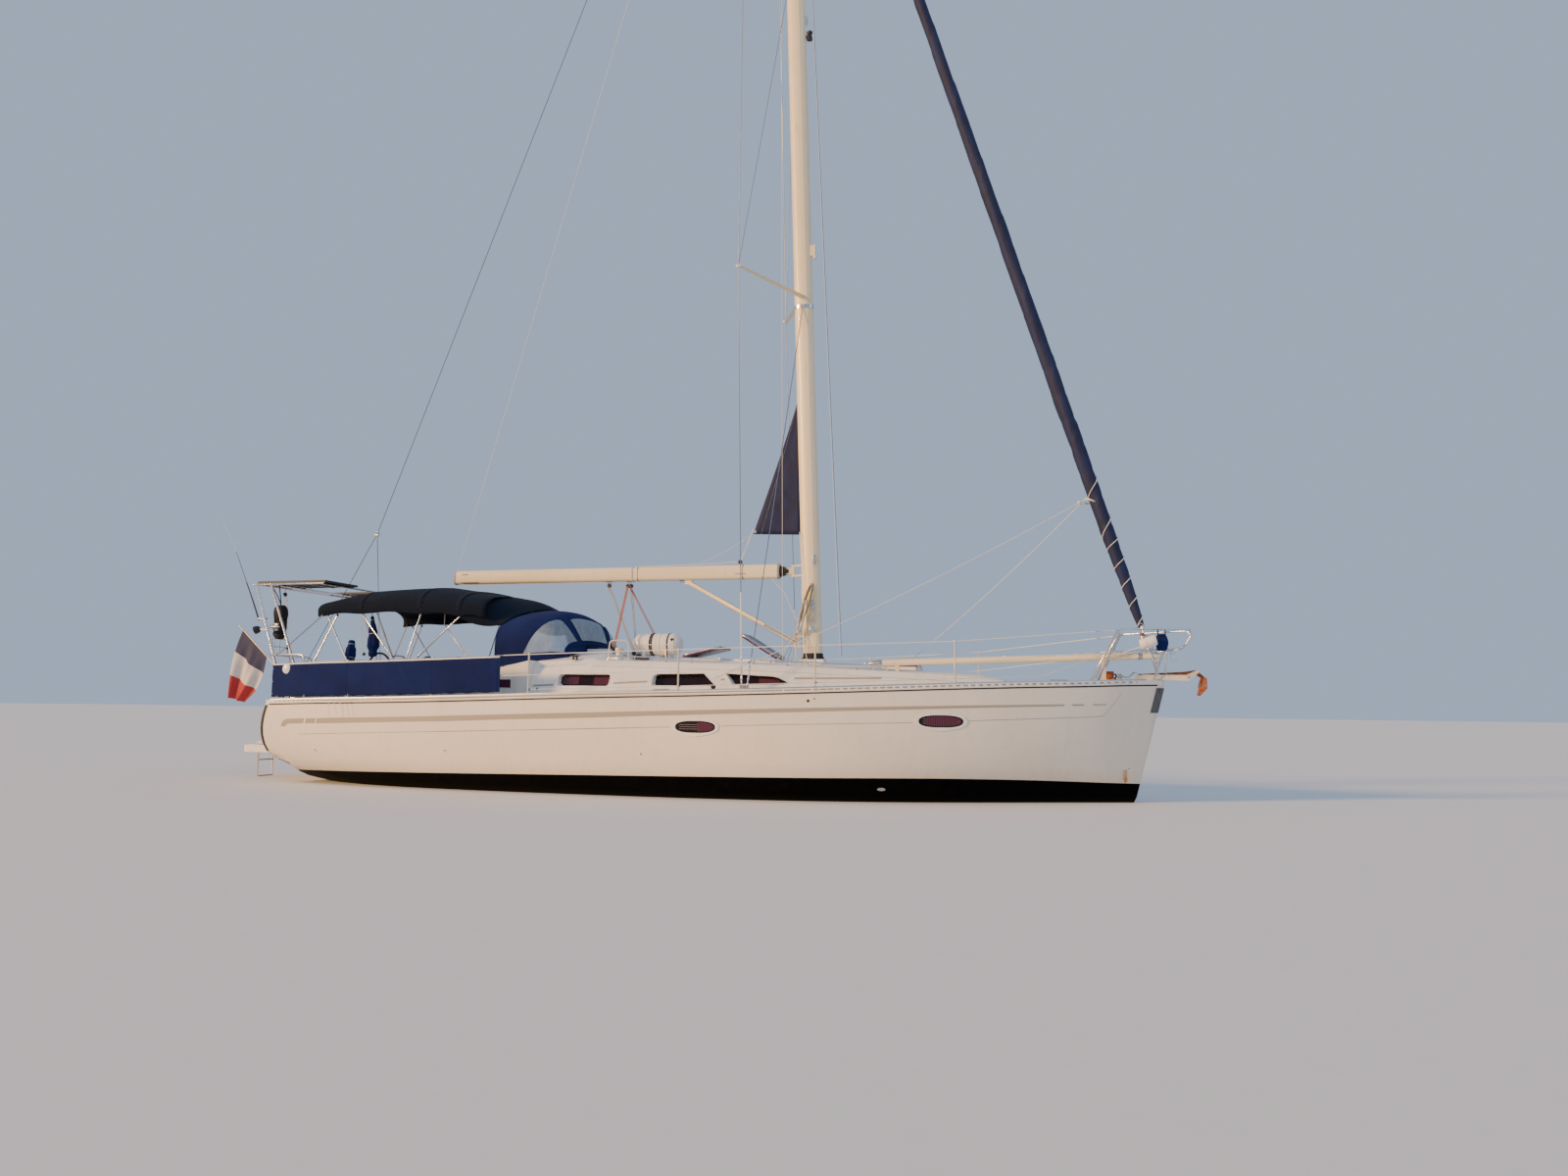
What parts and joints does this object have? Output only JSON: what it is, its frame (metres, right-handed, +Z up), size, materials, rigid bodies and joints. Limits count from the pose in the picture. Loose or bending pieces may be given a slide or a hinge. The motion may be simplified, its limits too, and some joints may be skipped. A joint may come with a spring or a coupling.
{
  "type": "sailing yacht",
  "caption": "Sloop-rigged cruising yacht afloat, with in-mast furled mainsail, rolled headsail, bimini, sprayhood, stern arch and fold-down swim platform.",
  "frame": {"origin": "on the waterline, on the centreline, midway between the stem head and the transom", "axes": "+X to the bow, +Y to port, +Z up"},
  "size_m": [15.81, 4.329, 23.93],
  "materials": {
    "topsides": "aged gelcoat with grey stripes and black antifouling below",
    "deck_gelcoat": "white gelcoat",
    "smoked_acrylic": "smoked acrylic",
    "teak": "weathered teak",
    "stainless": "polished stainless steel",
    "stay_wire": "stainless wire",
    "antifouling": "matt antifouling",
    "antifouled_iron": "matt antifouling on cast iron",
    "bronze": "dull bronze",
    "spar_paint": "cream paint on aluminium",
    "sailcloth": "navy sun strip on sailcloth",
    "navy_canvas": "navy acrylic canvas",
    "rusty_iron": "galvanised steel gone to rust",
    "solar_cells": "dark solar cells in a light frame",
    "black_cover": "black cover",
    "ensign_cloth": "woven ensign cloth"
  },
  "bodies": {
    "hull": {"hull": "topsides", "deck": "deck_gelcoat", "coachroof": "deck_gelcoat", "cabin_window_starboard": "smoked_acrylic", "cabin_window_port": "smoked_acrylic", "cockpit": "deck_gelcoat", "cockpit_table": "teak", "pedestal_starboard": "deck_gelcoat", "pedestal_port": "deck_gelcoat", "keel": "antifouled_iron", "saildrive": "antifouling", "mast": "spar_paint", "spreader_lower_starboard": "spar_paint", "spreader_lower_port": "spar_paint", "spreader_upper_starboard": "spar_paint", "spreader_upper_port": "spar_paint", "cap_shroud_starboard": "stay_wire", "cap_shroud_port": "stay_wire", "lower_shroud_starboard": "stay_wire", "lower_shroud_port": "stay_wire", "backstay": "stay_wire", "forestay": "stay_wire", "headsail_roll": "sailcloth", "mainsail_clew": "sailcloth", "bow_roller": "stainless", "anchor": "rusty_iron", "pulpit_starboard": "stainless", "pulpit_port": "stainless", "spinnaker_pole": "spar_paint", "guard_rail_starboard": "stainless", "guard_rail_port": "stainless", "pushpit_starboard": "stainless", "pushpit_port": "stainless", "stern_arch": "stainless", "solar_panel_starboard": "solar_cells", "solar_panel_port": "solar_cells", "outboard_cover": "black_cover", "weather_cloth_starboard": "navy_canvas", "weather_cloth_port": "navy_canvas", "bimini_frame": "stainless", "bimini_canopy": "navy_canvas", "sprayhood_frame": "stainless", "sprayhood": "navy_canvas", "life_raft": "deck_gelcoat", "halyard_winch_starboard": "stainless", "halyard_winch_port": "stainless", "ensign_staff": "teak", "ensign": "ensign_cloth"},
    "boom": {"boom": "spar_paint", "boom_vang": "spar_paint"},
    "wheel_starboard": {"wheel_starboard": "stainless"},
    "wheel_port": {"wheel_port": "stainless"},
    "rudder": {"rudder": "antifouling"},
    "propeller": {"propeller": "bronze"},
    "swim_platform": {"swim_platform": "deck_gelcoat"},
    "boarding_ladder": {"boarding_ladder": "stainless"},
    "saloon_hatch_aft": {"saloon_hatch_aft": "smoked_acrylic"},
    "saloon_hatch_fore": {"saloon_hatch_fore": "smoked_acrylic"},
    "forecabin_hatch": {"forecabin_hatch": "smoked_acrylic"},
    "companionway_hatch": {"companionway_hatch": "smoked_acrylic"}
  },
  "joints": [
    {"name": "boom_swing", "type": "hinge", "parent": "hull", "child": "boom", "pos_m": [1.45, 0, 3.45], "axis": [-0.0364, 0, 0.9993], "range_deg": [-70, 70]},
    {"name": "steering", "type": "hinge", "parent": "hull", "child": "wheel_starboard", "pos_m": [-5.48, -0.72, 1.76], "axis": [1, 0, 0], "range_deg": [-270, 270]},
    {"name": "port_wheel_turn", "type": "hinge", "parent": "hull", "child": "wheel_port", "pos_m": [-5.48, 0.72, 1.76], "axis": [1, 0, 0], "range_deg": [-270, 270]},
    {"name": "rudder_turn", "type": "hinge", "parent": "hull", "child": "rudder", "pos_m": [-5.75, 0, -0.3], "axis": [0, 0, 1], "range_deg": [-35, 35]},
    {"name": "propeller_spin", "type": "hinge", "parent": "hull", "child": "propeller", "pos_m": [-2.3, 0, -0.96], "axis": [1, 0, 0], "continuous": true},
    {"name": "platform_fold", "type": "hinge", "parent": "hull", "child": "swim_platform", "pos_m": [-7.18, 0, 0.47], "axis": [0, 1, 0], "range_deg": [0, 90]},
    {"name": "ladder_fold", "type": "hinge", "parent": "swim_platform", "child": "boarding_ladder", "pos_m": [-8.202, 0, 0.586], "axis": [0, 1, 0], "range_deg": [0, 270]},
    {"name": "aft_hatch_lift", "type": "hinge", "parent": "hull", "child": "saloon_hatch_aft", "pos_m": [-0.3, 0, 2.0858], "axis": [0, -1, 0], "range_deg": [-12, 78]},
    {"name": "fore_hatch_lift", "type": "hinge", "parent": "hull", "child": "saloon_hatch_fore", "pos_m": [1.25, 0, 2.0609], "axis": [0, 1, 0], "range_deg": [-32, 12]},
    {"name": "forecabin_hatch_lift", "type": "hinge", "parent": "hull", "child": "forecabin_hatch", "pos_m": [3.45, 0, 1.9541], "axis": [0, 1, 0], "range_deg": [0, 95]},
    {"name": "companionway_slide", "type": "slide", "parent": "hull", "child": "companionway_hatch", "axis": [1, 0, 0], "range_m": [0, 0.44]}
  ],
  "couplings": [
    {"joint": "port_wheel_turn", "follows": "steering", "ratio": 1},
    {"joint": "rudder_turn", "follows": "steering", "ratio": 0.1296}
  ]
}
